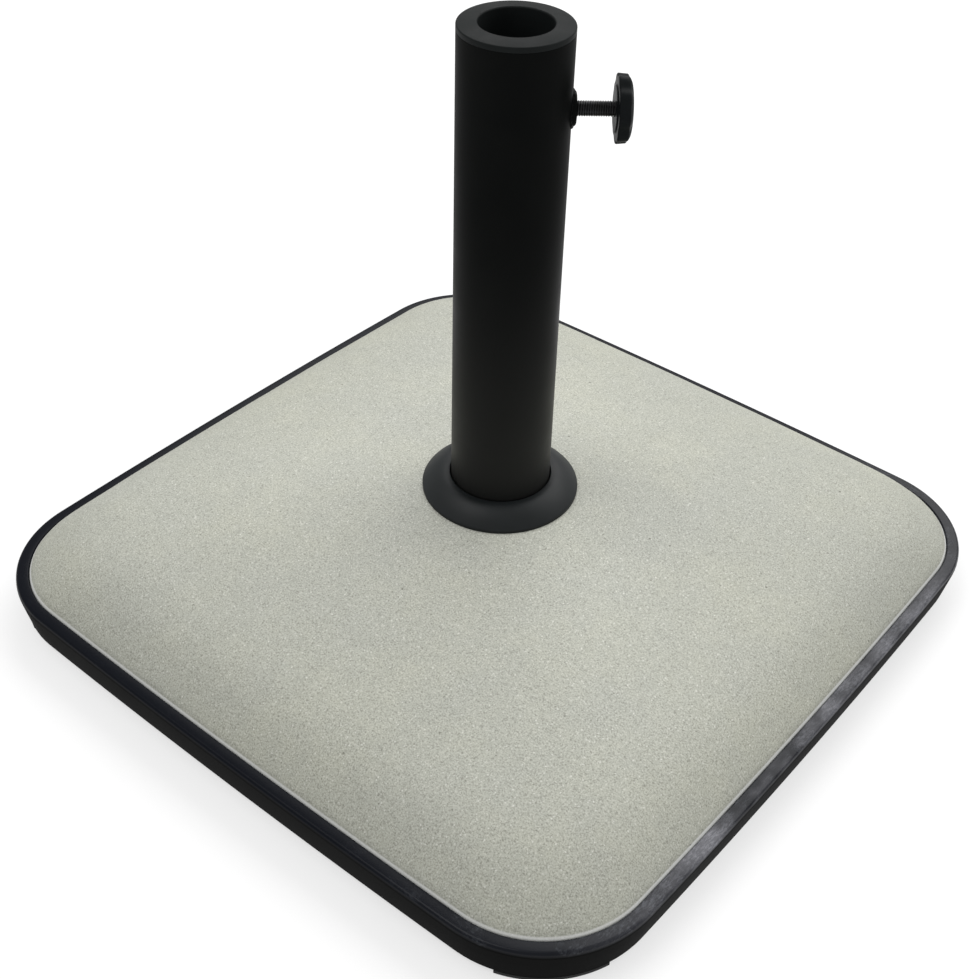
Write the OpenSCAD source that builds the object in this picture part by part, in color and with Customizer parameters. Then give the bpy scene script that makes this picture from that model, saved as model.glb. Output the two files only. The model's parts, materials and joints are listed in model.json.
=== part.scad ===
// Square parasol base: a crowned concrete slab in a black plastic edge tray,
// a bolted-on steel tube with a reducer for the pole, and a side clamp screw.
// Millimetres, +Z up, origin on the floor under the middle of the slab.

/* [Slab and tray] */
// Width of the base across the middle of two opposite sides
slab_side = 470; // [440:5:500]
// How far the middle of each side bows out past its ends
side_bow = 4.3; // [2:0.1:6]
// Plan radius of the four corners
corner_r = 73; // [60:1:90]
// Height of the tray's rim above the floor
rim_h = 28.5; // [24:0.5:34]
// Width of the rim's top lip
rim_lip = 8.1; // [7:0.1:10]
// How far the rim's side leans in towards its bottom edge
rim_draft = 4; // [2:0.5:5]
// Height of the concrete where the collar sits on it
land_h = 77.5; // [70:0.5:85]
// Rise of the crown towards the middle, per millimetre
crown_slope = 0.16; // [0.1:0.01:0.2]
// Width of the steep margin along each side of the crown
margin_w = 65; // [45:1:75]

/* [Tube] */
// Outer diameter of the steel tube
tube_d = 60; // [57:0.5:63]
// Wall of the steel tube
tube_wall = 1.5; // [1.2:0.1:2]
// Height of the whole base, to the top of the reducer's lip
total_h = 369; // [340:1:400]
// Outer diameter of the collar at the foot of the tube
collar_d = 95; // [85:1:105]
// Height of the collar above the concrete
collar_h = 11; // [8:0.5:14]

/* [Pole socket] */
// Bore that takes the parasol's 38 mm pole
pole_bore_d = 38.4; // [36:0.1:40]
// Length of the reducer's bore
reducer_len = 91; // [80:1:110]
// Thickness of the reducer's lip on top of the tube, at the bore
lip_h = 4; // [3:0.5:5]
// Rise of the lip's top from its rim to the bore
lip_rise = 1; // [0:0.25:1.5]
// Height of the lower pole guide's own bore
guide_len = 24; // [16:1:30]

/* [Clamp] */
// Distance of the clamp screw below the top
clamp_drop = 45; // [40:0.5:50]
// Direction the clamp screw points, in degrees from +X
clamp_dir = 41; // [0:1:90]
// Thread diameter of the clamp screw
screw_d = 8; // [8:1:8]
// Diameter of the knob over its lobes
knob_d = 36; // [32:0.5:40]
// Thickness of the knob from its rim's back to its crowned front
knob_t = 7.8; // [7.5:0.1:10]
// Number of finger hollows round the knob
knob_lobes = 9; // [6:1:10]
// Bare screw between the welded boss and the knob
screw_reach = 19.6; // [17:0.2:21]

/* [Hidden] */
$fn = 96;
eps = 0.01;

// plan outline: four shallow side arcs joined by four tangent corner arcs
half = slab_side / 2;
side_r = (half * half + side_bow * side_bow) / (2 * side_bow);
side_c = half - side_r;
corner_c = (side_c + sqrt(2 * pow(side_r - corner_r, 2) - side_c * side_c)) / 2;
join_a = atan2(corner_c, corner_c - side_c);

// levels of the base
foot_h = 3;
tray_floor = 2.5;
slab_z = foot_h + tray_floor;
tray_wall = 3;
rim_round = 3.5;
lip_t = 4;
slab_gap = 0.2;
slab_inset = rim_draft + tray_wall + slab_gap;
slab_lip_gap = 0.3;
crown_inset = rim_lip + slab_lip_gap;
ledge_z = rim_h - lip_t - slab_gap;

// crown
land_r = collar_d / 2 + 2.5;
crown_run = half - land_r;
edge_drop = land_h - crown_slope * (crown_run - crown_inset) - rim_h;
margin_power = 2.8;
crown_loops = 12;
side_steps = 5;
corner_steps = 9;

// fixing stack under the slab
recess_r = 62;
recess_z = 22;
socket_depth = 14;
socket_z = land_h - socket_depth;
bolt_d = 12;
bolt_head_h = 7.5;
bolt_head_af = 18;
bolt_len = 65;
plate_side = 80;
plate_t = 4;
spring_t = 2.5;
sleeve_wall = 1.5;
disc_t = 5;
nut_h = 10;
nut_af = 18;
disc_z = socket_z;
plate_z = recess_z - plate_t;
spring_z = plate_z - spring_t;
tray_hole_r = 60;

// corner feet, each held by two pegs in the tray's floor
foot_w = 30;
foot_span = 50;
peg_r = 3;
peg_gap = 0.05;
peg_turn = 17;

// tube and socket
tube_r = tube_d / 2;
tube_in_r = tube_r - tube_wall;
tube_top = total_h - lip_h;
bore_r = pole_bore_d / 2;
spigot_gap = 0.05;
spigot_len = 30;
spigot_wall = 2.2;
bush_wall = 2.4;
rib_t = 2;
guide_z = 112;
rest_t = 3;
clamp_z = total_h - clamp_drop;

// clamp, along the screw's own +X axis from the tube's centre line
boss_r = 9;
boss_out = 2;
plug_r = boss_r - 2;
weld_gap = 0.02;
thread_gap = 0.05;
boss_face = tube_r + boss_out;
pad_r = 3.2;
pad_len = 7;
pad_face = bore_r + 0.8;
pad_pin_r = 2;
pad_pin_len = 4;
screw_start = pad_face + pad_len;
hub_face = boss_face + screw_reach;
hub_r = 12;
hub_h = 0.8;
knob_back = hub_face + hub_h;
knob_front = knob_back + knob_t;
knob_r = knob_d / 2;
lobe_cut_r = 7.5;
lobe_cut_depth = 1.4;
knob_rest_turn = 6.6;
insert_af = 13;
insert_len = 5;
insert_start = hub_face + 0.6;
screw_end = insert_start + insert_len - 0.5;
cap_r = 10;
cap_t = 1.6;
cap_pin_r = 3.5;

// ---- helpers ----

// The plan outline moved in by an inset, with true arcs
module plan(inset) {
    corner = corner_r - inset;
    joins = 2 * corner_c + corner * (cos(join_a) + sin(join_a));
    intersection() {
        intersection_for(q = [0 : 3])
            rotate(90 * q) translate([side_c, 0]) circle(r = side_r - inset, $fn = 1440);
        rotate(45) square(joins * sqrt(2), center = true);
    }
    for (q = [0 : 3]) rotate(90 * q) translate([corner_c, corner_c]) circle(r = corner);
}

function turned(p, q) = q == 0 ? p : q == 1 ? [-p[1], p[0]] : q == 2 ? [-p[0], -p[1]] : [p[1], -p[0]];

// Points round a bowed square: side arcs of radius side about (-middle, 0), corner arcs about (k, k)
function round_square(middle, side, k, corner, side_n, corner_n) =
    let (a = atan2(k, k - middle))
    [for (q = [0 : 3]) each concat(
        [for (i = [0 : side_n]) let (t = a * (2 * i / side_n - 1))
            turned([middle + side * cos(t), side * sin(t)], q)],
        [for (i = [1 : corner_n - 1]) let (t = a + (90 - 2 * a) * i / corner_n)
            turned([k + corner * cos(t), k + corner * sin(t)], q)])];

// The plan outline moved in by an inset, as points
function outline(inset) =
    round_square(side_c, side_r - inset, corner_c, corner_r - inset, 6, 24);

// Triangles between neighbouring loops of n points each, from loop k to loop next
function band(n, k, next) = [for (i = [0 : n - 1])
    let (j = (i + 1) % n) each [[k * n + i, next * n + j, k * n + j], [k * n + i, next * n + i, next * n + j]]];

// Height of the crown at a distance in from the nominal outline
function crown_z(inset) =
    land_h - crown_slope * (crown_run - inset)
    - edge_drop * pow(max(0, (margin_w - inset) / (margin_w - crown_inset)), margin_power);

// One level line of the crown: a bowed rounded square that becomes a circle at the land
function level_line(inset) =
    let (t = (inset - crown_inset) / (crown_run - crown_inset),
         h = half - inset,
         r = (corner_r - crown_inset) * (1 - t) + land_r * t,
         bow = side_bow * (1 - t) + eps,
         side = (h * h + bow * bow) / (2 * bow),
         c = h - side,
         k = (c + sqrt(2 * pow(side - r, 2) - c * c)) / 2)
    round_square(c, side, k, r, side_steps, corner_steps);

// Moves a part built along +X from the tube's centre line to the clamp's place
module at_clamp() {
    translate([0, 0, clamp_z]) rotate([0, 0, clamp_dir]) children();
}

// A cylinder along +X from x = from to x = to
module rod(r, from, to) {
    translate([from, 0, 0]) rotate([0, 90, 0]) cylinder(r = r, h = to - from);
}

module hexagon(af, h) {
    cylinder(d = af / cos(30), h = h, $fn = 6);
}

module ring(r_out, r_in, h) {
    difference() {
        cylinder(r = r_out, h = h);
        translate([0, 0, -1]) cylinder(r = r_in, h = h + 2);
    }
}

// ---- slab and tray ----

// The crown: level lines stacked from below the rim's lip up to the land under the collar
module crown() {
    insets = [for (i = [0 : crown_loops])
        crown_inset + (crown_run - crown_inset) * pow(i / crown_loops, 1.6)];
    lines = concat(
        [[for (p = level_line(crown_inset)) [p[0], p[1], ledge_z - 1]]],
        [for (d = insets) [for (p = level_line(d)) [p[0], p[1], crown_z(d)]]]);
    n = len(lines[0]);
    last = len(lines) - 1;
    sides = [for (k = [0 : last - 1]) each band(n, k, k + 1)];
    floor_face = [for (i = [0 : n - 1]) i];
    land_face = [for (i = [n - 1 : -1 : 0]) last * n + i];
    polyhedron([for (line = lines) each line], concat([floor_face, land_face], sides));
}

module ballast_slab() {
    color([0.70, 0.70, 0.65]) difference() {
        union() {
            translate([0, 0, slab_z]) linear_extrude(ledge_z - slab_z) plan(slab_inset);
            crown();
        }
        cylinder(r = bolt_d / 2 + sleeve_wall + 0.5, h = land_h);
        translate([0, 0, slab_z - 1]) cylinder(r = recess_r, h = recess_z - slab_z + 1);
        translate([0, 0, socket_z]) cylinder(r = tube_r + 0.5, h = socket_depth + 1);
    }
}

// The rim's section swept round the outline, as [how far in from the outline, height]
module rim() {
    section = concat(
        [[rim_draft + tray_wall, foot_h], [rim_draft, foot_h], [0, rim_h - rim_round]],
        [for (a = [18 : 18 : 90]) [rim_round * (1 - cos(a)), rim_h - rim_round * (1 - sin(a))]],
        [[rim_lip, rim_h], [rim_lip, rim_h - lip_t], [rim_draft + tray_wall, rim_h - lip_t]]);
    loops = [for (p = section) [for (q = outline(p[0])) [q[0], q[1], p[1]]]];
    n = len(loops[0]);
    m = len(loops);
    polyhedron([for (loop = loops) each loop], [for (k = [0 : m - 1]) each band(n, k, (k + 1) % m)]);
}

module edge_tray() {
    color([0.07, 0.075, 0.08]) {
        rim();
        difference() {
            translate([0, 0, foot_h]) linear_extrude(tray_floor) plan(rim_draft + tray_wall - 1);
            translate([0, 0, foot_h - 1]) cylinder(r = tray_hole_r, h = tray_floor + 2);
            each_peg() translate([0, 0, foot_h - 1]) cylinder(r = peg_r, h = tray_floor + 2);
        }
    }
}

// Puts its child at the place of each peg of the corner feet
module each_peg() {
    for (q = [0 : 3]) for (s = [-1, 1])
        rotate([0, 0, 90 * q]) translate([corner_c, corner_c, 0])
        rotate([0, 0, 45 + s * peg_turn]) translate([corner_r - rim_draft - foot_w / 2, 0, 0]) children();
}

module corner_feet() {
    color([0.05, 0.05, 0.05]) {
        for (q = [0 : 3]) rotate([0, 0, 90 * q]) translate([corner_c, corner_c, 0])
            rotate([0, 0, 45 - foot_span / 2]) rotate_extrude(angle = foot_span)
            polygon([[corner_r - rim_draft - foot_w, 0], [corner_r - rim_draft - 0.8, 0],
                     [corner_r - rim_draft, 0.8], [corner_r - rim_draft, foot_h],
                     [corner_r - rim_draft - foot_w, foot_h]]);
        each_peg() translate([0, 0, foot_h - eps]) cylinder(r = peg_r - peg_gap, h = tray_floor + eps);
    }
}

// ---- fixing stack ----

module bolt_sleeve() {
    color([0.80, 0.80, 0.76]) translate([0, 0, recess_z])
        ring(bolt_d / 2 + sleeve_wall + 0.5, bolt_d / 2 + 0.5, socket_z - recess_z);
}

module plate_washer() {
    color([0.62, 0.64, 0.66]) difference() {
        translate([-plate_side / 2, -plate_side / 2, plate_z]) cube([plate_side, plate_side, plate_t]);
        translate([0, 0, plate_z - 1]) cylinder(r = bolt_d / 2 + 0.5, h = plate_t + 2);
    }
}

module spring_washer() {
    split = 2;
    color([0.58, 0.60, 0.62]) translate([0, 0, spring_z]) difference() {
        ring(10.5, bolt_d / 2 + 0.2, spring_t);
        rotate([15, 0, 0]) translate([0, -split / 2, -10]) cube([20, split, 20]);
    }
}

module fixing_bolt() {
    color([0.62, 0.64, 0.66]) {
        translate([0, 0, spring_z - bolt_head_h]) hexagon(bolt_head_af, bolt_head_h);
        translate([0, 0, spring_z - eps]) cylinder(d = bolt_d, h = bolt_len - 1 + eps);
        translate([0, 0, spring_z + bolt_len - 1]) cylinder(d1 = bolt_d, d2 = bolt_d - 2, h = 1);
    }
}

// ---- tube ----

module tube() {
    color([0.10, 0.105, 0.105]) difference() {
        translate([0, 0, socket_z]) ring(tube_r, tube_in_r, tube_top - socket_z);
        at_clamp() rod(plug_r, tube_r - 8, tube_r + 8);
    }
}

module foot_disc() {
    color([0.30, 0.30, 0.30]) translate([0, 0, disc_z]) ring(tube_in_r - weld_gap, bolt_d / 2 + 0.3, disc_t);
}

module foot_nut() {
    color([0.55, 0.56, 0.58]) translate([0, 0, disc_z + disc_t]) difference() {
        hexagon(nut_af, nut_h);
        translate([0, 0, -1]) cylinder(r = bolt_d / 2 + thread_gap, h = nut_h + 2);
    }
}

module clamp_boss() {
    round_e = 1.2;
    color([0.12, 0.125, 0.125]) at_clamp() difference() {
        union() {
            rod(plug_r - thread_gap, tube_in_r + 0.3, tube_r + 0.5);
            difference() {
                rotate([0, 90, 0]) rotate_extrude() polygon(concat(
                    [[0, tube_r - 4], [boss_r, tube_r - 4]],
                    [for (a = [0 : 15 : 90]) [boss_r - round_e + round_e * cos(a),
                                              boss_face - round_e + round_e * sin(a)]],
                    [[0, boss_face]]));
                translate([0, 0, -boss_r - 1]) cylinder(r = tube_r + weld_gap, h = 2 * boss_r + 2);
            }
        }
        rod(screw_d / 2 + thread_gap, tube_r - 8, boss_face + 1);
    }
}

module tube_collar() {
    rim = 2.2;
    edge_h = 2;
    neck_gap = 0.6;
    neck = tube_r + neck_gap;
    neck_w = 3.2;
    out = collar_d / 2;
    wall = 2.4;
    // height of the domed top, from the neck (t = 0) to the edge (t = 1)
    function dome(t) = edge_h + (collar_h - edge_h) * (1 - pow(t, 1.7));
    steps = 8;
    color([0.10, 0.11, 0.115]) translate([0, 0, land_h]) rotate_extrude() polygon(concat(
        [[neck, 0.8], [neck, collar_h]],
        [for (i = [0 : steps]) let (t = i / steps) [neck + neck_w + (out - neck - neck_w) * t, dome(t)]],
        [[out, 0], [out - rim, 0]],
        [for (i = [steps - 1 : -1 : 1]) let (t = i / steps)
            [neck + neck_w + (out - neck - neck_w) * t - 0.5, max(0.4, dome(t) - wall)]],
        [[neck + neck_w, collar_h - wall - 0.4], [neck + neck_w, 0.8]]));
}

// ---- pole socket ----

module reducer_cap() {
    round_e = 1.2;
    color([0.09, 0.095, 0.10]) translate([0, 0, total_h]) difference() {
        union() {
            rotate_extrude() polygon(concat(
                [[bore_r, -reducer_len], [bore_r, -round_e]],
                [for (a = [15 : 15 : 90]) [bore_r + round_e * (1 - cos(a)), -round_e + round_e * sin(a)]],
                [for (a = [90 : -15 : 0]) [tube_r - round_e + round_e * cos(a),
                                           -lip_rise - round_e + round_e * sin(a)]],
                [[tube_r, -lip_h], [tube_in_r - spigot_gap, -lip_h],
                 [tube_in_r - spigot_gap, -lip_h - spigot_len],
                 [tube_in_r - spigot_gap - spigot_wall, -lip_h - spigot_len],
                 [tube_in_r - spigot_gap - spigot_wall, -lip_h - 2],
                 [bore_r + bush_wall, -lip_h - 2], [bore_r + bush_wall, -reducer_len]]));
            for (a = [0 : 60 : 300]) rotate([0, 0, a + clamp_dir + 30])
                translate([bore_r + 1, -rib_t / 2, -lip_h - spigot_len])
                cube([tube_in_r - spigot_wall - bore_r, rib_t, spigot_len]);
        }
        rotate([0, 0, clamp_dir]) translate([0, 0, -clamp_drop]) rod(screw_d / 2 + 0.6, 10, tube_in_r + 1);
    }
}

module lower_pole_guide() {
    hub = 2.4;
    skirt = 2.2;
    color([0.09, 0.095, 0.10]) translate([0, 0, guide_z]) {
        ring(bore_r + hub, bore_r, guide_len);
        ring(tube_in_r - spigot_gap, tube_in_r - spigot_gap - skirt, guide_len);
        for (a = [0 : 60 : 300]) rotate([0, 0, a])
            translate([bore_r + 1, -rib_t / 2, 0]) cube([tube_in_r - skirt - bore_r, rib_t, guide_len]);
    }
}

module pole_rest() {
    skirt = 2.4;
    color([0.09, 0.095, 0.10]) translate([0, 0, disc_z + disc_t]) {
        ring(tube_in_r - spigot_gap, tube_in_r - spigot_gap - skirt, guide_z - disc_z - disc_t);
        translate([0, 0, guide_z - disc_z - disc_t - rest_t]) ring(tube_in_r - 1, 5, rest_t);
    }
}

// ---- clamp screw ----

module clamp_screw() {
    color([0.16, 0.16, 0.17]) at_clamp() {
        rod(pad_pin_r, screw_start - pad_pin_len, screw_start + eps);
        rod(screw_d / 2, screw_start, screw_end);
    }
}

module pressure_pad() {
    color([0.85, 0.84, 0.80]) at_clamp() difference() {
        rod(pad_r, pad_face, screw_start - thread_gap);
        rod(pad_pin_r + thread_gap, screw_start - pad_pin_len - thread_gap, screw_start + 1);
    }
}

module knob_insert() {
    color([0.70, 0.58, 0.32]) at_clamp() difference() {
        translate([insert_start, 0, 0]) rotate([0, 90, 0]) hexagon(insert_af, insert_len);
        rod(screw_d / 2, insert_start - 1, screw_end);
    }
}

module clamp_knob() {
    taper = 0.5;
    crown_drop = 2.1;
    flat_r = 9;
    front_r = knob_r - taper;
    // how far the front face lies behind its middle at a radius
    function fall(r) = crown_drop * pow(max(0, (r - flat_r) / (front_r - flat_r)), 3);
    color([0.08, 0.085, 0.09]) at_clamp() difference() {
        rotate([0, 90, 0]) rotate_extrude() polygon(concat(
            [[0, hub_face], [hub_r - 0.8, hub_face], [hub_r, knob_back], [knob_r - 0.8, knob_back],
             [knob_r, knob_back + 0.8], [front_r, knob_front - crown_drop - 0.3]],
            [for (i = [0 : 5]) let (r = front_r - 0.3 - (front_r - 0.3 - flat_r) * i / 5) [r, knob_front - fall(r)]],
            [[0, knob_front]]));
        for (i = [0 : knob_lobes - 1]) rotate([360 / knob_lobes * (i + 0.5) + knob_rest_turn, 0, 0])
            translate([0, 0, knob_r + lobe_cut_r - lobe_cut_depth]) rod(lobe_cut_r, knob_back - 1, knob_front + 1);
        rod(screw_d / 2 + thread_gap, hub_face - 1, insert_start + eps);
        translate([insert_start, 0, 0]) rotate([0, 90, 0]) hexagon(insert_af, insert_len);
        rod(cap_r + 0.1, knob_front - cap_t, knob_front + 1);
        rod(cap_pin_r + 0.05, insert_start + insert_len, knob_front);
    }
}

module knob_cap() {
    color([0.10, 0.105, 0.11]) at_clamp() {
        rod(cap_r, knob_front - cap_t, knob_front);
        rod(cap_pin_r, insert_start + insert_len + 0.2, knob_front - cap_t + eps);
    }
}

ballast_slab();
edge_tray();
corner_feet();
bolt_sleeve();
plate_washer();
spring_washer();
fixing_bolt();
tube();
foot_disc();
foot_nut();
clamp_boss();
tube_collar();
reducer_cap();
lower_pole_guide();
pole_rest();
clamp_screw();
pressure_pad();
clamp_knob();
knob_insert();
knob_cap();
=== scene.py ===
"""Square parasol base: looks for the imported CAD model. Metres, in the model's own frame."""
import json
import math

import bmesh
import bpy
from mathutils import Matrix, Vector, noise


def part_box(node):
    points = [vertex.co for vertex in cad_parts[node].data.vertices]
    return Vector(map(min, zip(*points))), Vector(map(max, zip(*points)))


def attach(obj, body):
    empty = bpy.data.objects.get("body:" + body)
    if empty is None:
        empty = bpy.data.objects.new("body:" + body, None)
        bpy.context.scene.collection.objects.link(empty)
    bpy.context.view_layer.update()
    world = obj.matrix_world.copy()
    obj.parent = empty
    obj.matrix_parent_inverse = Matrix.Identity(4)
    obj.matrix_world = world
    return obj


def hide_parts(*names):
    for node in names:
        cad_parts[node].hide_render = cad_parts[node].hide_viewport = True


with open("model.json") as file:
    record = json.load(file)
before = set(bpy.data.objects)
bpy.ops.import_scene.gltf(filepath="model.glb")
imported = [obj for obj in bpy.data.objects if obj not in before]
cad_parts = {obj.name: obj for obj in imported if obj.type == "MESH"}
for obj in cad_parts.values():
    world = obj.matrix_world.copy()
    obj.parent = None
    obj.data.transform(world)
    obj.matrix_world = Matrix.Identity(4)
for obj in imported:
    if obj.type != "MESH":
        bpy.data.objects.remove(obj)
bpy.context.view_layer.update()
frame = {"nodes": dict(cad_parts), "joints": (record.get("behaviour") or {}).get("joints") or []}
MM = 0.001

# ---- driving sizes, from the frame where it holds them ----

RIM_LOW, RIM_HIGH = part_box("edge_tray")
SLAB_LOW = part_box("ballast_slab")[0]
TUBE_LOW, TUBE_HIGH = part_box("tube")
COLLAR_LOW, COLLAR_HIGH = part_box("tube_collar")
CAP_LOW, CAP_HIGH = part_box("reducer_cap")
BOLT_LOW, BOLT_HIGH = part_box("fixing_bolt")
SLEEVE_LOW, SLEEVE_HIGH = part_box("bolt_sleeve")

HALF = RIM_HIGH.x
SIDE_BOW = 4.3 * MM
CORNER_R = 73 * MM
RIM_DRAFT = 4 * MM
RIM_WALL = 3 * MM
RIM_LIP = 8.1 * MM
RIM_ROUND = 3.5 * MM
LIP_T = 4 * MM
FOOT_H = RIM_LOW.z
TRAY_HOLE_R = 60 * MM
RECESS_R = 62 * MM

LAND_H = COLLAR_LOW.z
COLLAR_R = COLLAR_HIGH.x
LAND_R = COLLAR_R + 2.5 * MM
CROWN_INSET = RIM_LIP + 0.3 * MM
CROWN_SLOPE = 0.16
MARGIN_W = 65 * MM
MARGIN_POWER = 2.8

TUBE_R = TUBE_HIGH.x
TUBE_IN_R = TUBE_R - 1.5 * MM
BORE_R = 19.2 * MM
CLAMP = next(j for j in frame["joints"] if j["name"] == "knob_turn")
CLAMP_Z = CLAMP["pos_m"][2]
CLAMP_TURN = math.atan2(-CLAMP["axis"][1], -CLAMP["axis"][0])


# ---- camera at the photograph's viewing angle ----

def make_camera():
    azimuth, elevation, roll = (math.radians(a) for a in (38.68, 39.37, 1.74))
    back = Vector((math.sin(azimuth) * math.cos(elevation), -math.cos(azimuth) * math.cos(elevation),
                   math.sin(elevation)))
    level = Vector((math.cos(azimuth), math.sin(azimuth), 0))
    upright = back.cross(level)
    right = level * math.cos(roll) + upright * math.sin(roll)
    up = upright * math.cos(roll) - level * math.sin(roll)
    aim = Vector((-24.06, 20.05, 47.0)) * MM
    data = bpy.data.cameras.new("camera")
    data.lens = 54.22
    data.sensor_width = 36
    camera = bpy.data.objects.new("camera", data)
    turn = Matrix((right, up, back)).transposed().to_4x4()
    camera.matrix_world = Matrix.Translation(aim + back * 0.9495) @ turn
    bpy.context.scene.collection.objects.link(camera)
    bpy.context.scene.camera = camera


make_camera()


# ---- mesh helpers ----

def add_object(name, bm, sharp_deg=38):
    """A smooth-shaded object from a bmesh, with edges sharper than sharp_deg kept crisp."""
    bmesh.ops.recalc_face_normals(bm, faces=bm.faces)
    mesh = bpy.data.meshes.new(name)
    bm.to_mesh(mesh)
    bm.free()
    mesh.shade_smooth()
    mesh.set_sharp_from_angle(angle=math.radians(sharp_deg))
    obj = bpy.data.objects.new(name, mesh)
    bpy.context.scene.collection.objects.link(obj)
    return obj


def skin(bm, loops, close_ends=False):
    """Quads between neighbouring loops of equally many points. close_ends joins the last to the first."""
    rows = [[bm.verts.new(p) for p in loop] for loop in loops]
    pairs = list(zip(rows, rows[1:]))
    if close_ends:
        pairs.append((rows[-1], rows[0]))
    for low, high in pairs:
        for i in range(len(low)):
            j = (i + 1) % len(low)
            bm.faces.new((low[i], low[j], high[j], high[i]))
    return rows


def fillet(points, steps=5):
    """A closed outline of (x, y, radius) corners as plain points, each corner rounded to its radius."""
    out = []
    count = len(points)
    for i, (x, y, r) in enumerate(points):
        here = Vector((x, y))
        if r <= 0:
            out.append((x, y))
            continue
        before = Vector(points[i - 1][:2]) - here
        after = Vector(points[(i + 1) % count][:2]) - here
        a, b = before.normalized(), after.normalized()
        half_angle = math.acos(max(-1, min(1, a.dot(b)))) / 2
        reach = min(r / math.tan(half_angle), before.length * 0.49, after.length * 0.49)
        r = reach * math.tan(half_angle)
        centre = here + (a + b).normalized() * (r / math.sin(half_angle))
        start, end = here + a * reach - centre, here + b * reach - centre
        turn = start.angle_signed(end)
        for k in range(steps + 1):
            t = -turn * k / steps
            p = centre + Vector((start.x * math.cos(t) - start.y * math.sin(t),
                                 start.x * math.sin(t) + start.y * math.cos(t)))
            out.append((p.x, p.y))
    return out


def lathe(name, profile, segments=128, place=Matrix.Identity(4), radius=None, sharp_deg=38):
    """A closed (r, z) profile turned about Z. Points on the axis become one vertex; radius may modulate r."""
    bm = bmesh.new()
    rows = []
    for r, z in profile:
        if r < 1e-7:
            rows.append([bm.verts.new(place @ Vector((0, 0, z)))])
            continue
        row = []
        for i in range(segments):
            a = 2 * math.pi * i / segments
            rr = radius(r, z, a) if radius else r
            row.append(bm.verts.new(place @ Vector((rr * math.cos(a), rr * math.sin(a), z))))
        rows.append(row)
    for low, high in zip(rows, rows[1:] + rows[:1]):
        for i in range(segments):
            j = (i + 1) % segments
            corners = [low[i % len(low)], low[j % len(low)], high[j % len(high)], high[i % len(high)]]
            unique = list(dict.fromkeys(corners))
            if len(unique) > 2:
                bm.faces.new(unique)
    return add_object(name, bm, sharp_deg)


def cut(obj, *tools):
    """Cuts solids out of obj for good, and removes them."""
    for tool in tools:
        modifier = obj.modifiers.new("cut", "BOOLEAN")
        modifier.object = tool
        modifier.operation = "DIFFERENCE"
        modifier.solver = "EXACT"
    evaluated = obj.evaluated_get(bpy.context.evaluated_depsgraph_get())
    mesh = bpy.data.meshes.new_from_object(evaluated)
    obj.modifiers.clear()
    obj.data = mesh
    mesh.shade_smooth()
    mesh.set_sharp_from_angle(angle=math.radians(38))
    for tool in tools:
        bpy.data.objects.remove(tool)


def along_clamp(distance=0.0):
    """From a shape turned about Z to the clamp screw's line, pointing outwards from the tube's centre line."""
    outward = Matrix.Rotation(CLAMP_TURN, 4, "Z") @ Matrix.Rotation(math.pi / 2, 4, "Y")
    return Matrix.Translation((0, 0, CLAMP_Z)) @ outward @ Matrix.Translation((0, 0, distance))


def drill(radius, start, end, segments):
    """A rod along the clamp's line, to cut its hole with."""
    return lathe("drill", [(0, start), (radius, start), (radius, end), (0, end)], segments, along_clamp())


def finish_piece(obj, material, body, slot, *nodes):
    obj.data.materials.clear()
    obj.data.materials.append(material)
    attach(obj, body)
    if nodes:
        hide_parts(*nodes)


# ---- plan outline of the slab and the tray ----

SIDE_R = (HALF ** 2 + SIDE_BOW ** 2) / (2 * SIDE_BOW)
SIDE_C = HALF - SIDE_R
CORNER_C = (SIDE_C + math.sqrt(2 * (SIDE_R - CORNER_R) ** 2 - SIDE_C ** 2)) / 2


def outline_angles(side_steps=30, corner_steps=26):
    """Directions from the centre line, evenly spaced along the sides and round the corners."""
    join = math.atan2(CORNER_C, CORNER_C - SIDE_C)
    angles = []
    for q in range(4):
        for i in range(side_steps):
            t = join * (2 * i / side_steps - 1)
            angles.append(q * math.pi / 2 + math.atan2(SIDE_R * math.sin(t), SIDE_C + SIDE_R * math.cos(t)))
        for i in range(corner_steps):
            t = join + (math.pi / 2 - 2 * join) * i / corner_steps
            angles.append(q * math.pi / 2 + math.atan2(CORNER_C + CORNER_R * math.sin(t),
                                                       CORNER_C + CORNER_R * math.cos(t)))
    return angles


ANGLES = outline_angles()


def bowed_square_reach(angle, middle, side, k, corner):
    """Distance from the centre line to a bowed square with round corners, in one direction."""
    a = abs((angle + math.pi / 4) % (math.pi / 2) - math.pi / 4)
    join = math.atan2(k, k - middle)
    if a < math.atan2(k + corner * math.sin(join), k + corner * math.cos(join)):
        return middle * math.cos(a) + math.sqrt(side ** 2 - (middle * math.sin(a)) ** 2)
    across = k * (math.cos(a) - math.sin(a))
    return k * (math.cos(a) + math.sin(a)) + math.sqrt(max(0, corner ** 2 - across ** 2))


def loop_at(reach, z):
    return [Vector((reach(a) * math.cos(a), reach(a) * math.sin(a), z)) for a in ANGLES]


def circle(radius, z):
    return loop_at(lambda a: radius, z)


def outline(inset, z):
    return loop_at(lambda a: bowed_square_reach(a, SIDE_C, SIDE_R - inset, CORNER_C, CORNER_R - inset), z)


def flat_rings(hole_r, z):
    """Four outlines that step out across the flat underside, from the hole in its middle to the rim."""
    first, last = HALF - hole_r - 20 * MM, 20 * MM
    return [outline(first + (last - first) * i / 5, z) for i in range(1, 5)]


def crown_height(inset):
    run = HALF - LAND_R
    drop = LAND_H - CROWN_SLOPE * (run - CROWN_INSET) - RIM_HIGH.z
    margin = max(0, (MARGIN_W - inset) / (MARGIN_W - CROWN_INSET))
    return LAND_H - CROWN_SLOPE * (run - inset) - drop * margin ** MARGIN_POWER


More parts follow.
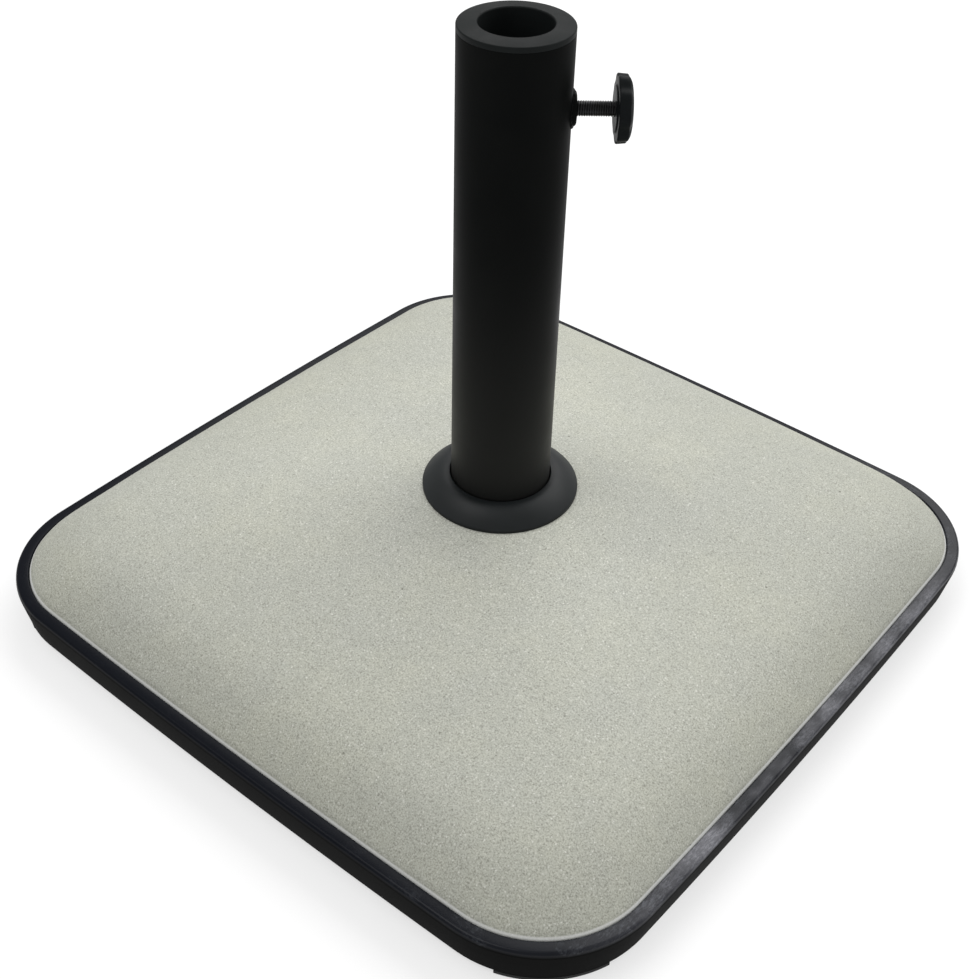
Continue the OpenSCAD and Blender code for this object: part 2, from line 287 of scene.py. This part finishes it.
def level_line(inset):
    """One level line of the crown: a bowed rounded square that turns into the round land under the collar."""
    t = (inset - CROWN_INSET) / (HALF - LAND_R - CROWN_INSET)
    h = HALF - inset
    corner = (CORNER_R - CROWN_INSET) * (1 - t) + LAND_R * t
    bow = SIDE_BOW * (1 - t) + 0.00001
    side = (h * h + bow * bow) / (2 * bow)
    middle = h - side
    k = (middle + math.sqrt(2 * (side - corner) ** 2 - middle ** 2)) / 2
    return loop_at(lambda a: bowed_square_reach(a, middle, side, k, corner), crown_height(inset))


# ---- materials ----

def nodes_of(name):
    material = bpy.data.materials.new(name)
    material.use_nodes = True
    tree = material.node_tree
    return material, tree, tree.nodes["Principled BSDF"]


def add(tree, kind, **values):
    """A shader node with its settings and inputs set by name."""
    node = tree.nodes.new(kind)
    for key, value in values.items():
        if hasattr(node, key):
            setattr(node, key, value)
        else:
            node.inputs[key.replace("_", " ")].default_value = value
    return node


def place(tree, stretch=(1, 1, 1)):
    """Object-space coordinates in metres, optionally stretched."""
    source = add(tree, "ShaderNodeTexCoord")
    mapping = add(tree, "ShaderNodeMapping")
    mapping.inputs["Scale"].default_value = stretch
    tree.links.new(source.outputs["Object"], mapping.inputs["Vector"])
    return mapping.outputs["Vector"]


def noise_of(tree, where, scale, detail=2.0, roughness=0.5):
    node = add(tree, "ShaderNodeTexNoise", Scale=scale, Detail=detail, Roughness=roughness)
    tree.links.new(where, node.inputs["Vector"])
    return node.outputs["Fac"]


def remap(tree, value, low, high, to_low=0.0, to_high=1.0):
    node = add(tree, "ShaderNodeMapRange", From_Min=low, From_Max=high, To_Min=to_low, To_Max=to_high)
    tree.links.new(value, node.inputs["Value"])
    return node.outputs["Result"]


def math_of(tree, operation, a, b=None):
    node = add(tree, "ShaderNodeMath", operation=operation)
    for slot, value in zip(node.inputs, (a, b)):
        if isinstance(value, (int, float)):
            slot.default_value = value
        elif value is not None:
            tree.links.new(value, slot)
    return node.outputs["Value"]


def mix(tree, factor, a, b, blend="MIX"):
    node = add(tree, "ShaderNodeMix", data_type="RGBA", blend_type=blend)
    for slot, value in ((node.inputs["Factor"], factor), (node.inputs[6], a), (node.inputs[7], b)):
        if isinstance(value, tuple):
            slot.default_value = (*value, 1)
        elif isinstance(value, (int, float)):
            slot.default_value = value
        else:
            tree.links.new(value, slot)
    return node.outputs[2]


def bump(tree, shader, height, distance, strength=1.0):
    node = add(tree, "ShaderNodeBump", Strength=strength, Distance=distance)
    tree.links.new(height, node.inputs["Height"])
    tree.links.new(node.outputs["Normal"], shader.inputs["Normal"])
    return node


def cells(tree, where, scale, size, share):
    """Round grains: 1 inside a grain and 0 outside.

    size is the grain's radius in cell widths, and share is how many of the cells have one."""
    node = add(tree, "ShaderNodeTexVoronoi", Scale=scale)
    tree.links.new(where, node.inputs["Vector"])
    pick = add(tree, "ShaderNodeSeparateColor")
    tree.links.new(node.outputs["Color"], pick.inputs["Color"])
    kept = math_of(tree, "LESS_THAN", pick.outputs["Red"], share)
    grain = remap(tree, node.outputs["Distance"], size, size * 0.6)
    return math_of(tree, "MULTIPLY", kept, grain)


def concrete():
    material, tree, shader = nodes_of("speckled_concrete")
    where = place(tree)
    clouds = noise_of(tree, where, 14, 4, 0.55)
    blotches = noise_of(tree, where, 70, 3, 0.6)
    colour = mix(tree, remap(tree, clouds, 0.35, 0.65), (0.452, 0.460, 0.410), (0.485, 0.490, 0.420))
    colour = mix(tree, remap(tree, blotches, 0.35, 0.7, 0.0, 0.45), colour, (0.42, 0.43, 0.385))
    grit = noise_of(tree, where, 1100, 2, 0.7)
    colour = mix(tree, remap(tree, grit, 0.36, 0.5, 0.6, 0.0), colour, (0.22, 0.22, 0.19))
    colour = mix(tree, remap(tree, grit, 0.55, 0.68, 0.0, 0.5), colour, (0.74, 0.74, 0.68))
    dark_grains = cells(tree, where, 420, 0.30, 0.20)
    colour = mix(tree, math_of(tree, "MULTIPLY", dark_grains, 0.5), colour, (0.20, 0.20, 0.17))
    pale_grains = cells(tree, where, 520, 0.30, 0.16)
    colour = mix(tree, math_of(tree, "MULTIPLY", pale_grains, 0.38), colour, (0.92, 0.92, 0.88))
    pits = cells(tree, where, 85, 0.08, 0.12)
    colour = mix(tree, math_of(tree, "MULTIPLY", pits, 0.75), colour, (0.16, 0.16, 0.13))
    height = add(tree, "ShaderNodeSeparateXYZ")
    tree.links.new(where, height.inputs["Vector"])
    # Painted shade: the concrete gets darker towards its rim, standing in for the shade on its sloping
    # margins.
    painted_margin_shade = remap(tree, height.outputs["Z"], RIM_HIGH.z + 40 * MM, RIM_HIGH.z + 14 * MM, 0.0, 0.75)
    colour = mix(tree, painted_margin_shade, colour, (0.79, 0.79, 0.77), "MULTIPLY")
    # Painted highlight: a thin pale line along the concrete's top edge at the rim.
    arris_painted_highlight = remap(tree, height.outputs["Z"], RIM_HIGH.z + 1.0 * MM, RIM_HIGH.z + 0.3 * MM, 0.0, 0.65)
    colour = mix(tree, arris_painted_highlight, colour, (0.80, 0.81, 0.80))
    tree.links.new(colour, shader.inputs["Base Color"])
    shader.inputs["Roughness"].default_value = 0.7
    shader.inputs["Specular IOR Level"].default_value = 0.25
    height = math_of(tree, "SUBTRACT", math_of(tree, "MULTIPLY", grit, 0.5), pits)
    bump(tree, shader, height, 0.00025, 0.6)
    return material


def moulded(name, colour, gloss=0.35, grain=1800, grain_depth=0.00003, scuffs=0.0, specular=0.5):
    """Moulded plastic: a fine-grained skin, uneven gloss, and optional pale scuffs."""
    material, tree, shader = nodes_of(name)
    where = place(tree)
    patches = noise_of(tree, where, 22, 4, 0.6)
    colour_out = mix(tree, remap(tree, patches, 0.3, 0.7), tuple(c * 0.75 for c in colour),
                     tuple(c * 1.3 for c in colour))
    rough = remap(tree, patches, 0.3, 0.7, gloss * 0.8, gloss * 1.25)
    if scuffs:
        rubbed = remap(tree, noise_of(tree, where, 60, 6, 0.75), 0.5, 0.72)
        streaks = remap(tree, noise_of(tree, place(tree, (1, 1, 6)), 260, 5, 0.7), 0.45, 0.75)
        amount = math_of(tree, "MULTIPLY", math_of(tree, "MULTIPLY", rubbed, streaks), scuffs)
        colour_out = mix(tree, amount, colour_out, (0.13, 0.14, 0.155))
        rough = math_of(tree, "ADD", rough, math_of(tree, "MULTIPLY", amount, 0.3))
    tree.links.new(colour_out, shader.inputs["Base Color"])
    tree.links.new(rough, shader.inputs["Roughness"])
    shader.inputs["Specular IOR Level"].default_value = specular
    bump(tree, shader, noise_of(tree, where, grain, 3, 0.6), grain_depth)
    return material


def tray_plastic():
    """Black moulding: a matt side, and a semi-gloss lip that has been rubbed along its edge; the pale rubbed
    marks are partly painted reflections, and pale bands along the +X side are painted sheen.
    """
    material, tree, shader = nodes_of("tray_black_plastic")
    where = place(tree)
    height = add(tree, "ShaderNodeSeparateXYZ")
    tree.links.new(where, height.inputs["Vector"])
    lip = remap(tree, height.outputs["Z"], RIM_HIGH.z - 3.2 * MM, RIM_HIGH.z - 1.2 * MM)
    patches = noise_of(tree, where, 22, 4, 0.6)
    colour = mix(tree, remap(tree, patches, 0.3, 0.7), (0.0022, 0.0023, 0.0023), (0.0042, 0.0043, 0.0042))
    rubbed = remap(tree, noise_of(tree, where, 34, 6, 0.7), 0.50, 0.72)
    along_y = noise_of(tree, place(tree, (1, 0.35, 1)), 700, 6, 0.75)
    along_x = noise_of(tree, place(tree, (0.35, 1, 1)), 700, 6, 0.75)
    side = math_of(tree, "GREATER_THAN", math_of(tree, "ABSOLUTE", height.outputs["X"]),
                   math_of(tree, "ABSOLUTE", height.outputs["Y"]))
    streaks = remap(tree, mix(tree, side, along_x, along_y), 0.46, 0.70)
    # Pale marks on the lip, strongest towards the +X side and its corners: partly rubbed wear, partly painted
    # reflections.
    handled_and_sheen_zone = remap(tree, height.outputs["X"], HALF - 150 * MM, HALF - 30 * MM, 0.05, 1.0)
    scuffs = math_of(tree, "MULTIPLY", math_of(tree, "MULTIPLY", rubbed, streaks),
                     math_of(tree, "MULTIPLY", lip, handled_and_sheen_zone))
    colour = mix(tree, lip, colour, (0.004, 0.005, 0.008))
    colour = mix(tree, scuffs, colour, (0.17, 0.185, 0.21))
    # Painted sheen: pale grey bands on the lip along the middle of the +X side, standing in for reflections.
    sheen_band_side = remap(tree, height.outputs["X"], HALF - 26 * MM, HALF - 8 * MM)
    off_middle = math_of(tree, "ABSOLUTE", height.outputs["Y"])
    sheen_band_side = math_of(tree, "MULTIPLY", sheen_band_side, remap(tree, off_middle, 175 * MM, 110 * MM, 0.15, 1.0))
    patch = remap(tree, noise_of(tree, place(tree, (1, 0.6, 1)), 24, 3, 0.6), 0.36, 0.54)
    painted_sheen = math_of(tree, "MULTIPLY", math_of(tree, "MULTIPLY", sheen_band_side, patch),
                   math_of(tree, "MULTIPLY", lip, remap(tree, streaks, 0.0, 1.0, 0.45, 1.0)))
    colour = mix(tree, painted_sheen, colour, (0.24, 0.24, 0.265))
    tree.links.new(colour, shader.inputs["Base Color"])
    gloss = remap(tree, lip, 0.0, 1.0, 0.6, 0.27)
    rough = math_of(tree, "ADD", gloss, math_of(tree, "MULTIPLY", scuffs, 0.3))
    tree.links.new(rough, shader.inputs["Roughness"])
    polish = math_of(tree, "ADD", 0.04, math_of(tree, "MULTIPLY", handled_and_sheen_zone, 0.12))
    sheen = math_of(tree, "MULTIPLY", lip, polish)
    tree.links.new(math_of(tree, "ADD", sheen, 0.015), shader.inputs["Specular IOR Level"])
    bump(tree, shader, noise_of(tree, where, 1500, 3, 0.6), 0.00003)
    return material


def powder_coat():
    """Matt black powder coat with its fine orange peel."""
    material, tree, shader = nodes_of("black_powder_coat")
    where = place(tree)
    patches = noise_of(tree, where, 30, 3, 0.5)
    height = add(tree, "ShaderNodeSeparateXYZ")
    tree.links.new(where, height.inputs["Vector"])
    # Painted reflection: the coat gets lighter towards the tube's foot, standing in for light reflected up
    # from the slab; its specular level rises there too.
    lower_reflection_ramp = remap(tree, height.outputs["Z"], TUBE_HIGH.z - 0.08, COLLAR_LOW.z)
    lower_reflection_ramp = math_of(tree, "POWER", lower_reflection_ramp, 2.0)
    colour = mix(tree, remap(tree, patches, 0.3, 0.7), (0.0036, 0.0040, 0.0039), (0.0050, 0.0054, 0.0052))
    colour = mix(tree, math_of(tree, "MULTIPLY", lower_reflection_ramp, 0.5), colour, (0.016, 0.016, 0.015))
    tree.links.new(colour, shader.inputs["Base Color"])
    tree.links.new(remap(tree, patches, 0.3, 0.7, 0.42, 0.52), shader.inputs["Roughness"])
    sheen = math_of(tree, "ADD", math_of(tree, "MULTIPLY", lower_reflection_ramp, 0.22), 0.02)
    tree.links.new(sheen, shader.inputs["Specular IOR Level"])
    peel = noise_of(tree, where, 1400, 2, 0.5)
    bump(tree, shader, peel, 0.00003)
    return material


def metal(name, colour, rough=0.3, streak=(1, 1, 1), tarnish=(0.3, 0.3, 0.3), scale=300):
    """Plated or plain metal with fine machining streaks and duller patches."""
    material, tree, shader = nodes_of(name)
    where = place(tree)
    streaks = noise_of(tree, place(tree, streak), scale, 4, 0.6)
    patches = noise_of(tree, where, 90, 4, 0.6)
    base = mix(tree, remap(tree, patches, 0.45, 0.75, 0.0, 0.6), colour, tarnish)
    tree.links.new(base, shader.inputs["Base Color"])
    shader.inputs["Metallic"].default_value = 1
    tree.links.new(remap(tree, streaks, 0.3, 0.7, rough * 0.7, rough * 1.4), shader.inputs["Roughness"])
    bump(tree, shader, streaks, 0.00002)
    return material


CONCRETE = concrete()
TRAY = tray_plastic()
PLASTIC = moulded("fine_grained_black_plastic", (0.0085, 0.0105, 0.0112), 0.48, 2200, 0.00003, specular=0.22)
CAP = moulded("cap_black_plastic", (0.0085, 0.010, 0.010), 0.5, 2200, 0.00003, specular=0.055)
KNOB = moulded("knob_black_plastic", (0.0065, 0.0075, 0.008), 0.40, 2600, 0.00002, scuffs=0.08, specular=0.035)
RUBBER = moulded("foot_black_rubber", (0.014, 0.014, 0.014), 0.8, 900, 0.00006, specular=0.3)
POWDER = powder_coat()
ZINC = metal("zinc_plated_steel", (0.62, 0.63, 0.66), 0.32, (1, 1, 1), (0.42, 0.42, 0.44))
STEEL = metal("plain_steel", (0.36, 0.36, 0.37), 0.4, (1, 1, 1), (0.20, 0.17, 0.15))
BLACK_STEEL = metal("black_oxide_steel", (0.045, 0.046, 0.048), 0.36, (1, 1, 1), (0.03, 0.028, 0.026))
BRASS = metal("turned_brass", (0.72, 0.56, 0.28), 0.28, (1, 1, 4), (0.45, 0.33, 0.15))
NYLON = moulded("natural_nylon", (0.62, 0.60, 0.54), 0.45, 1800, 0.00002, specular=0.4)
SLEEVE = moulded("grey_sleeve_plastic", (0.42, 0.42, 0.40), 0.55, 1500, 0.00003, specular=0.3)


# ---- slab, tray and feet ----

def make_slab():
    ledge_z = RIM_HIGH.z - LIP_T - 0.2 * MM
    side_inset = RIM_DRAFT + RIM_WALL + 0.2 * MM
    hole_r = SLEEVE_HIGH.x
    pocket_r = TUBE_R + 0.5 * MM
    run = HALF - LAND_R - CROWN_INSET
    loops = [circle(hole_r, SLEEVE_LOW.z), circle(RECESS_R - 1 * MM, SLEEVE_LOW.z),
             circle(RECESS_R, SLEEVE_LOW.z - 1 * MM), circle(RECESS_R, SLAB_LOW.z + 1 * MM),
             circle(RECESS_R + 1 * MM, SLAB_LOW.z)]
    loops += flat_rings(RECESS_R, SLAB_LOW.z)
    loops += [outline(side_inset + 1 * MM, SLAB_LOW.z), outline(side_inset, SLAB_LOW.z + 1 * MM),
              outline(side_inset, ledge_z - 0.5 * MM), outline(side_inset + 0.5 * MM, ledge_z),
              outline(CROWN_INSET + 0.3 * MM, ledge_z)]
    edge = [(0.0, -3.4), (0.0, -1.6), (0.12, -0.9), (0.42, -0.28), (0.95, 0.36)]
    loops += [outline(CROWN_INSET + d * MM, RIM_HIGH.z + h * MM) for d, h in edge]
    start = 1.6 * MM / run
    steps = 46
    for i in range(steps + 1):
        t = start + (1 - start) * (i / steps) ** 1.25
        loops.append(level_line(CROWN_INSET + run * t))
    loops += [circle(LAND_R - 3 * MM, LAND_H), circle(pocket_r + 0.6 * MM, LAND_H),
              circle(pocket_r, LAND_H - 0.6 * MM), circle(pocket_r, TUBE_LOW.z), circle(hole_r, TUBE_LOW.z)]
    for loop in loops[20:20 + steps - 4]:
        for p in loop:
            wave = noise.noise(p * 22) * 0.28 + noise.noise(p * 60) * 0.12
            p.z += wave * MM
    bm = bmesh.new()
    skin(bm, loops, close_ends=True)
    return add_object("concrete_slab", bm)


def rim_section():
    """The rim's section as (inset, height): up the outside, over the lip and down the inside."""
    wall = RIM_DRAFT + RIM_WALL
    corners = [(wall - 1 * MM, FOOT_H, 0), (RIM_DRAFT, FOOT_H, 0.8 * MM), (1.4 * MM, 17 * MM, 30 * MM),
               (0, RIM_HIGH.z - RIM_ROUND, 6 * MM), (0.6 * MM, RIM_HIGH.z, 3.2 * MM),
               (RIM_LIP, RIM_HIGH.z, 0.9 * MM), (RIM_LIP, RIM_HIGH.z - LIP_T, 0),
               (wall, RIM_HIGH.z - LIP_T, 0), (wall, SLAB_LOW.z, 0)]
    return fillet(corners, 6)


def make_tray():
    loops = [circle(TRAY_HOLE_R, FOOT_H)]
    loops += flat_rings(TRAY_HOLE_R, FOOT_H)
    loops += [outline(inset, z) for inset, z in rim_section()]
    loops += [outline(40 * MM, SLAB_LOW.z), circle(TRAY_HOLE_R + 40 * MM, SLAB_LOW.z),
              circle(TRAY_HOLE_R, SLAB_LOW.z)]
    bm = bmesh.new()
    skin(bm, loops, close_ends=True)
    return add_object("black_tray", bm, 30)


def make_feet():
    """Four curved pads under the corners, each with two grooves across its sole."""
    width, span, steps = 30 * MM, math.radians(50), 24
    outer = CORNER_R - RIM_DRAFT
    bm = bmesh.new()
    section = fillet([(outer - width, 0, 0.8 * MM), (outer - 22 * MM, 0, 0.3 * MM),
                      (outer - 21 * MM, 1 * MM, 0.3 * MM), (outer - 19 * MM, 1 * MM, 0.3 * MM),
                      (outer - 18 * MM, 0, 0.3 * MM),
                      (outer - 12 * MM, 0, 0.3 * MM), (outer - 11 * MM, 1 * MM, 0.3 * MM),
                      (outer - 9 * MM, 1 * MM, 0.3 * MM), (outer - 8 * MM, 0, 0.3 * MM),
                      (outer, 0, 1 * MM), (outer, FOOT_H, 0), (outer - width, FOOT_H, 0)], 3)
    for q in range(4):
        turn = Matrix.Rotation(q * math.pi / 2, 4, "Z")
        rows = []
        for i in range(steps + 1):
            a = math.pi / 4 + span * (i / steps - 0.5)
            across = Vector((math.cos(a), math.sin(a), 0))
            middle = Vector((CORNER_C, CORNER_C, 0))
            rows.append([bm.verts.new(turn @ (middle + across * r + Vector((0, 0, z)))) for r, z in section])
        for low, high in zip(rows, rows[1:]):
            for i in range(len(low)):
                j = (i + 1) % len(low)
                bm.faces.new((low[i], low[j], high[j], high[i]))
        bm.faces.new(rows[0])
        bm.faces.new(rows[-1])
    return add_object("rubber_corner_feet", bm, 30)


# ---- tube, collar and socket ----

def make_tube():
    z0, z1 = TUBE_LOW.z, TUBE_HIGH.z
    edge = 0.25 * MM
    obj = lathe("steel_tube", fillet([(TUBE_IN_R, z0, edge), (TUBE_R, z0, edge), (TUBE_R, z1, edge),
                                      (TUBE_IN_R, z1, edge)], 3), 192)
    cut(obj, drill(7 * MM, 20 * MM, 40 * MM, 64))
    return obj


def make_boss():
    bore = 4.05 * MM
    back = TUBE_R - 4 * MM
    profile = fillet([(bore, back, 0), (BOSS_R, back, 0), (BOSS_R, BOSS_FACE, 1.3 * MM),
                      (bore, BOSS_FACE, 0.4 * MM)], 6)
    obj = lathe("welded_clamp_boss", profile, 96, along_clamp())
    core = lathe("core", [(0, CLAMP_Z - 20 * MM), (TUBE_R + 0.02 * MM, CLAMP_Z - 20 * MM),
                          (TUBE_R + 0.02 * MM, CLAMP_Z + 20 * MM), (0, CLAMP_Z + 20 * MM)], 192)
    cut(obj, core)
    return obj


def make_weld():
    """The painted weld bead where the boss meets the tube."""
    bm = bmesh.new()
    loops = []
    steps, sides = 120, 10
    reach = BOSS_R + 0.2 * MM
    for i in range(steps):
        a = 2 * math.pi * i / steps
        y, z = reach * math.cos(a), reach * math.sin(a)
        x = math.sqrt(TUBE_R ** 2 - y ** 2)
        bead = (1.0 + 0.14 * math.sin(17 * a) + 0.1 * math.sin(29 * a + 1)) * MM
        out = Vector((0, math.cos(a), math.sin(a)))
        along = Vector((1, 0, 0))
        loops.append([Vector((x, y, z)) + (out * math.cos(b) + along * math.sin(b)) * bead
                      for b in (2 * math.pi * k / sides for k in range(sides))])
    move = Matrix.Translation((0, 0, CLAMP_Z)) @ Matrix.Rotation(CLAMP_TURN, 4, "Z")
    skin(bm, [[move @ p for p in loop] for loop in loops], close_ends=True)
    return add_object("boss_weld_bead", bm)


def make_collar():
    neck = TUBE_R + 0.6 * MM
    top = COLLAR_HIGH.z
    low = COLLAR_LOW.z
    out = COLLAR_R
    shoulder = neck + 3.2 * MM
    rise = top - low
    edge_h = 2 * MM
    steps = 14
    dome = [(shoulder + (out - shoulder) * t, low + edge_h + (rise - edge_h) * (1 - t ** 1.7))
            for t in (i / steps for i in range(1, steps))]
    inner = [(r - 0.4 * MM, max(low + 0.4 * MM, z - 2.4 * MM)) for r, z in reversed(dome)]
    profile = fillet([(neck, low + 0.8 * MM, 0), (neck, top, 0.7 * MM), (shoulder, top, 1.2 * MM)]
                     + [(r, z, 0) for r, z in dome]
                     + [(out, low + edge_h, 0.8 * MM), (out, low, 0.3 * MM), (out - 2.2 * MM, low, 0)]
                     + [(r, z, 0) for r, z in inner if r < out - 3 * MM]
                     + [(shoulder, top - 2.8 * MM, 0), (shoulder, low + 0.8 * MM, 0)], 5)
    return lathe("domed_tube_collar", profile, 160)


def make_cap():
    top = CAP_HIGH.z
    spigot = TUBE_IN_R - 0.05 * MM
    lip = TUBE_HIGH.z
    profile = fillet([(BORE_R, CAP_LOW.z, 0.4 * MM), (BORE_R, top, 0.9 * MM), (TUBE_R, top - 1 * MM, 0.7 * MM),
                      (TUBE_R, lip, 0.3 * MM), (spigot, lip, 0), (spigot, lip - 30 * MM, 0.6 * MM),
                      (spigot - 2.2 * MM, lip - 30 * MM, 0.6 * MM), (spigot - 2.2 * MM, lip - 2 * MM, 1 * MM),
                      (BORE_R + 2.4 * MM, lip - 2 * MM, 1 * MM), (BORE_R + 2.4 * MM, CAP_LOW.z, 0.4 * MM)], 6)
    obj = lathe("pole_reducer_cap", profile, 160)
    cut(obj, drill(4.6 * MM, 10 * MM, 29 * MM, 48))
    return obj


# ---- clamp screw and knob ----

BOSS_FACE = TUBE_R + 2 * MM
BOSS_R = 9 * MM
SCREW_START = 27.0 * MM
SCREW_END = 56.7 * MM
HUB_FACE = 51.6 * MM
KNOB_BACK = 52.4 * MM
KNOB_FRONT = 60.2 * MM
KNOB_R = 18 * MM
KNOB_LOBES = 9
FLUTE_TURN = math.radians(6.6)
CAP_R = 10 * MM


def make_screw():
    """The stud with its real M8 thread, and the plain pin that carries the pressure pad."""
    pitch, crest, depth = 1.25 * MM, 4 * MM, 0.5 * MM
    around, per_turn = 40, 10
    end = SCREW_END
    count = round((end - SCREW_START) / pitch * per_turn)
    profile = [(0, SCREW_START - 4 * MM), (1.8 * MM, SCREW_START - 4 * MM), (2 * MM, SCREW_START - 3.8 * MM),
               (2 * MM, SCREW_START)]
    profile += [(crest, SCREW_START + (end - SCREW_START) * i / count) for i in range(count + 1)] + [(0, end)]

    def thread(r, x, a):
        if r < crest:
            return r
        phase = (x / pitch + a / (2 * math.pi)) % 1
        groove = max(0.0, 1 - abs(phase - 0.5) / 0.36)
        taper = min(1, max(0.0, (x - SCREW_START) / (1.2 * MM)))
        return (crest - depth * groove) - (1 - taper) * 0.8 * MM

    return lathe("threaded_clamp_stud", profile, around, along_clamp(), thread, 60)


def crown_fall(r):
    """How far the knob's front lies behind its middle at a radius."""
    flat = 9 * MM
    return 2.1 * MM * max(0, (r - flat) / (KNOB_R - 0.5 * MM - flat)) ** 3


def make_knob():
    """Fluted hand knob: a low hub at the back, nine lobes, a crowned front and a recess for its cap."""
    depth = 1.4 * MM
    front_r = KNOB_R - 0.5 * MM
    crown = [(r, KNOB_FRONT - crown_fall(r), 0) for r in (front_r - 0.9 * MM - 1.2 * MM * i for i in range(5))]
    profile = fillet([(4.05 * MM, HUB_FACE, 0.3 * MM), (11.8 * MM, HUB_FACE, 0.6 * MM),
                      (12.4 * MM, KNOB_BACK, 0.5 * MM), (KNOB_R, KNOB_BACK, 0.9 * MM),
                      (front_r, KNOB_FRONT - crown_fall(front_r), 0.9 * MM)] + crown
                     + [(CAP_R + 0.15 * MM, KNOB_FRONT - crown_fall(CAP_R), 0.3 * MM),
                        (CAP_R + 0.1 * MM, KNOB_FRONT - 1.6 * MM, 0), (3.6 * MM, KNOB_FRONT - 1.6 * MM, 0),
                        (3.6 * MM, 52.8 * MM, 0), (4.05 * MM, 52.6 * MM, 0)], 6)

    def fluted(r, x, a):
        if r < 12.8 * MM:
            return r
        wave = (1 + math.cos(KNOB_LOBES * (a - FLUTE_TURN))) / 2
        fade = min(1, (r - 12.8 * MM) / (2.5 * MM))
        return r - depth * wave ** 1.2 * fade

    return lathe("fluted_clamp_knob", profile, KNOB_LOBES * 28, along_clamp(), fluted, 40)


def make_knob_cap():
    profile = [(0, KNOB_FRONT - 1.6 * MM), (CAP_R - 0.1 * MM, KNOB_FRONT - 1.6 * MM)]
    profile += [(CAP_R, KNOB_FRONT - 0.6 * MM), (CAP_R - 0.1 * MM, KNOB_FRONT - 0.2 * MM),
                (CAP_R - 0.5 * MM, KNOB_FRONT - 0.06 * MM), (CAP_R - 1.4 * MM, KNOB_FRONT - 0.02 * MM),
                (0, KNOB_FRONT)]
    return lathe("knob_front_cap", profile, 96, along_clamp())


def make_bolt():
    """Hexagon head with its chamfer, and the M12 shank that goes up through the slab."""
    height = 7.5 * MM
    low = BOLT_LOW.z
    flat = 9 * MM
    seat = low + height
    end = BOLT_HIGH.z

    def hexagonal(r, z, a):
        if z > seat - 0.3 * MM or r < 8.4 * MM:
            return r
        edge = flat / math.cos((a + math.pi / 6) % (math.pi / 3) - math.pi / 6)
        return min(r, edge)

    profile = [(0, low), (8.5 * MM, low), (9.2 * MM, low + 0.25 * MM), (10.4 * MM, low + 1.0 * MM),
               (10.4 * MM, seat - 0.7 * MM), (8.3 * MM, seat - 0.3 * MM), (8.3 * MM, seat), (6 * MM, seat),
               (6 * MM, end - 1.4 * MM), (5 * MM, end), (0, end)]
    return lathe("hex_fixing_bolt", profile, 144, Matrix.Identity(4), hexagonal, 20)


# ---- floor, world and lights ----

def make_floor():
    bm = bmesh.new()
    bmesh.ops.create_grid(bm, x_segments=1, y_segments=1, size=40)
    floor = add_object("studio_floor", bm)
    material, tree, shader = nodes_of("pale_floor")
    where = place(tree)
    tone = mix(tree, noise_of(tree, where, 3, 3), (0.36, 0.36, 0.36), (0.38, 0.38, 0.38))
    tree.links.new(tone, shader.inputs["Base Color"])
    shader.inputs["Emission Color"].default_value = (1, 1, 1, 1)
    shader.inputs["Emission Strength"].default_value = 0.62
    shader.inputs["Roughness"].default_value = 0.9
    shader.inputs["Specular IOR Level"].default_value = 0.1
    floor.data.materials.append(material)
    floor.location.z = -0.0005


def make_light(name, place_at, aim, width, height, power):
    data = bpy.data.lights.new(name, "AREA")
    data.shape = "ELLIPSE"
    data.size = width
    data.size_y = height
    data.energy = power
    light = bpy.data.objects.new(name, data)
    light.location = place_at
    light.rotation_mode = "QUATERNION"
    light.rotation_quaternion = (Vector(aim) - Vector(place_at)).to_track_quat("-Z", "Y")
    bpy.context.scene.collection.objects.link(light)


def make_world(strength):
    world = bpy.data.worlds.new("studio")
    world.use_nodes = True
    background = world.node_tree.nodes["Background"]
    background.inputs["Color"].default_value = (1, 1, 1, 1)
    background.inputs["Strength"].default_value = strength
    bpy.context.scene.world = world


# ---- put together ----

finish_piece(make_slab(), CONCRETE, "base", "concrete", "ballast_slab")
finish_piece(make_tray(), TRAY, "base", "tray_plastic", "edge_tray")
finish_piece(make_feet(), RUBBER, "base", "foot_rubber", "corner_feet")
finish_piece(make_tube(), POWDER, "base", "powder_coat", "tube")
finish_piece(make_boss(), POWDER, "base", "powder_coat", "clamp_boss")
finish_piece(make_weld(), POWDER, "base", "powder_coat")
finish_piece(make_collar(), PLASTIC, "base", "moulded_plastic", "tube_collar")
finish_piece(make_cap(), CAP, "base", "moulded_plastic", "reducer_cap")
finish_piece(make_bolt(), ZINC, "base", "zinc_steel", "fixing_bolt")
finish_piece(make_screw(), BLACK_STEEL, "clamp_knob_and_screw", "black_steel", "clamp_screw")
finish_piece(make_knob(), KNOB, "clamp_knob_and_screw", "knob_plastic", "clamp_knob")
finish_piece(make_knob_cap(), KNOB, "clamp_knob_and_screw", "knob_plastic", "knob_cap")

for node, material in (("bolt_sleeve", SLEEVE), ("plate_washer", ZINC), ("spring_washer", ZINC),
                       ("foot_disc", STEEL), ("foot_nut", ZINC), ("lower_pole_guide", PLASTIC),
                       ("pole_rest", PLASTIC), ("pressure_pad", NYLON), ("knob_insert", BRASS)):
    mesh = frame["nodes"][node].data
    mesh.materials.clear()
    mesh.materials.append(material)

make_floor()
make_world(0.58)
make_light("back_softbox", (-0.15, 2.4, 2.6), (0, 0, 0.05), 6.5, 2.6, 112)
make_light("left_softbox", (-0.9, -0.9, 2.8), (0, 0, 0.05), 2.0, 2.0, 27)
bpy.context.scene.view_settings.view_transform = "Standard"
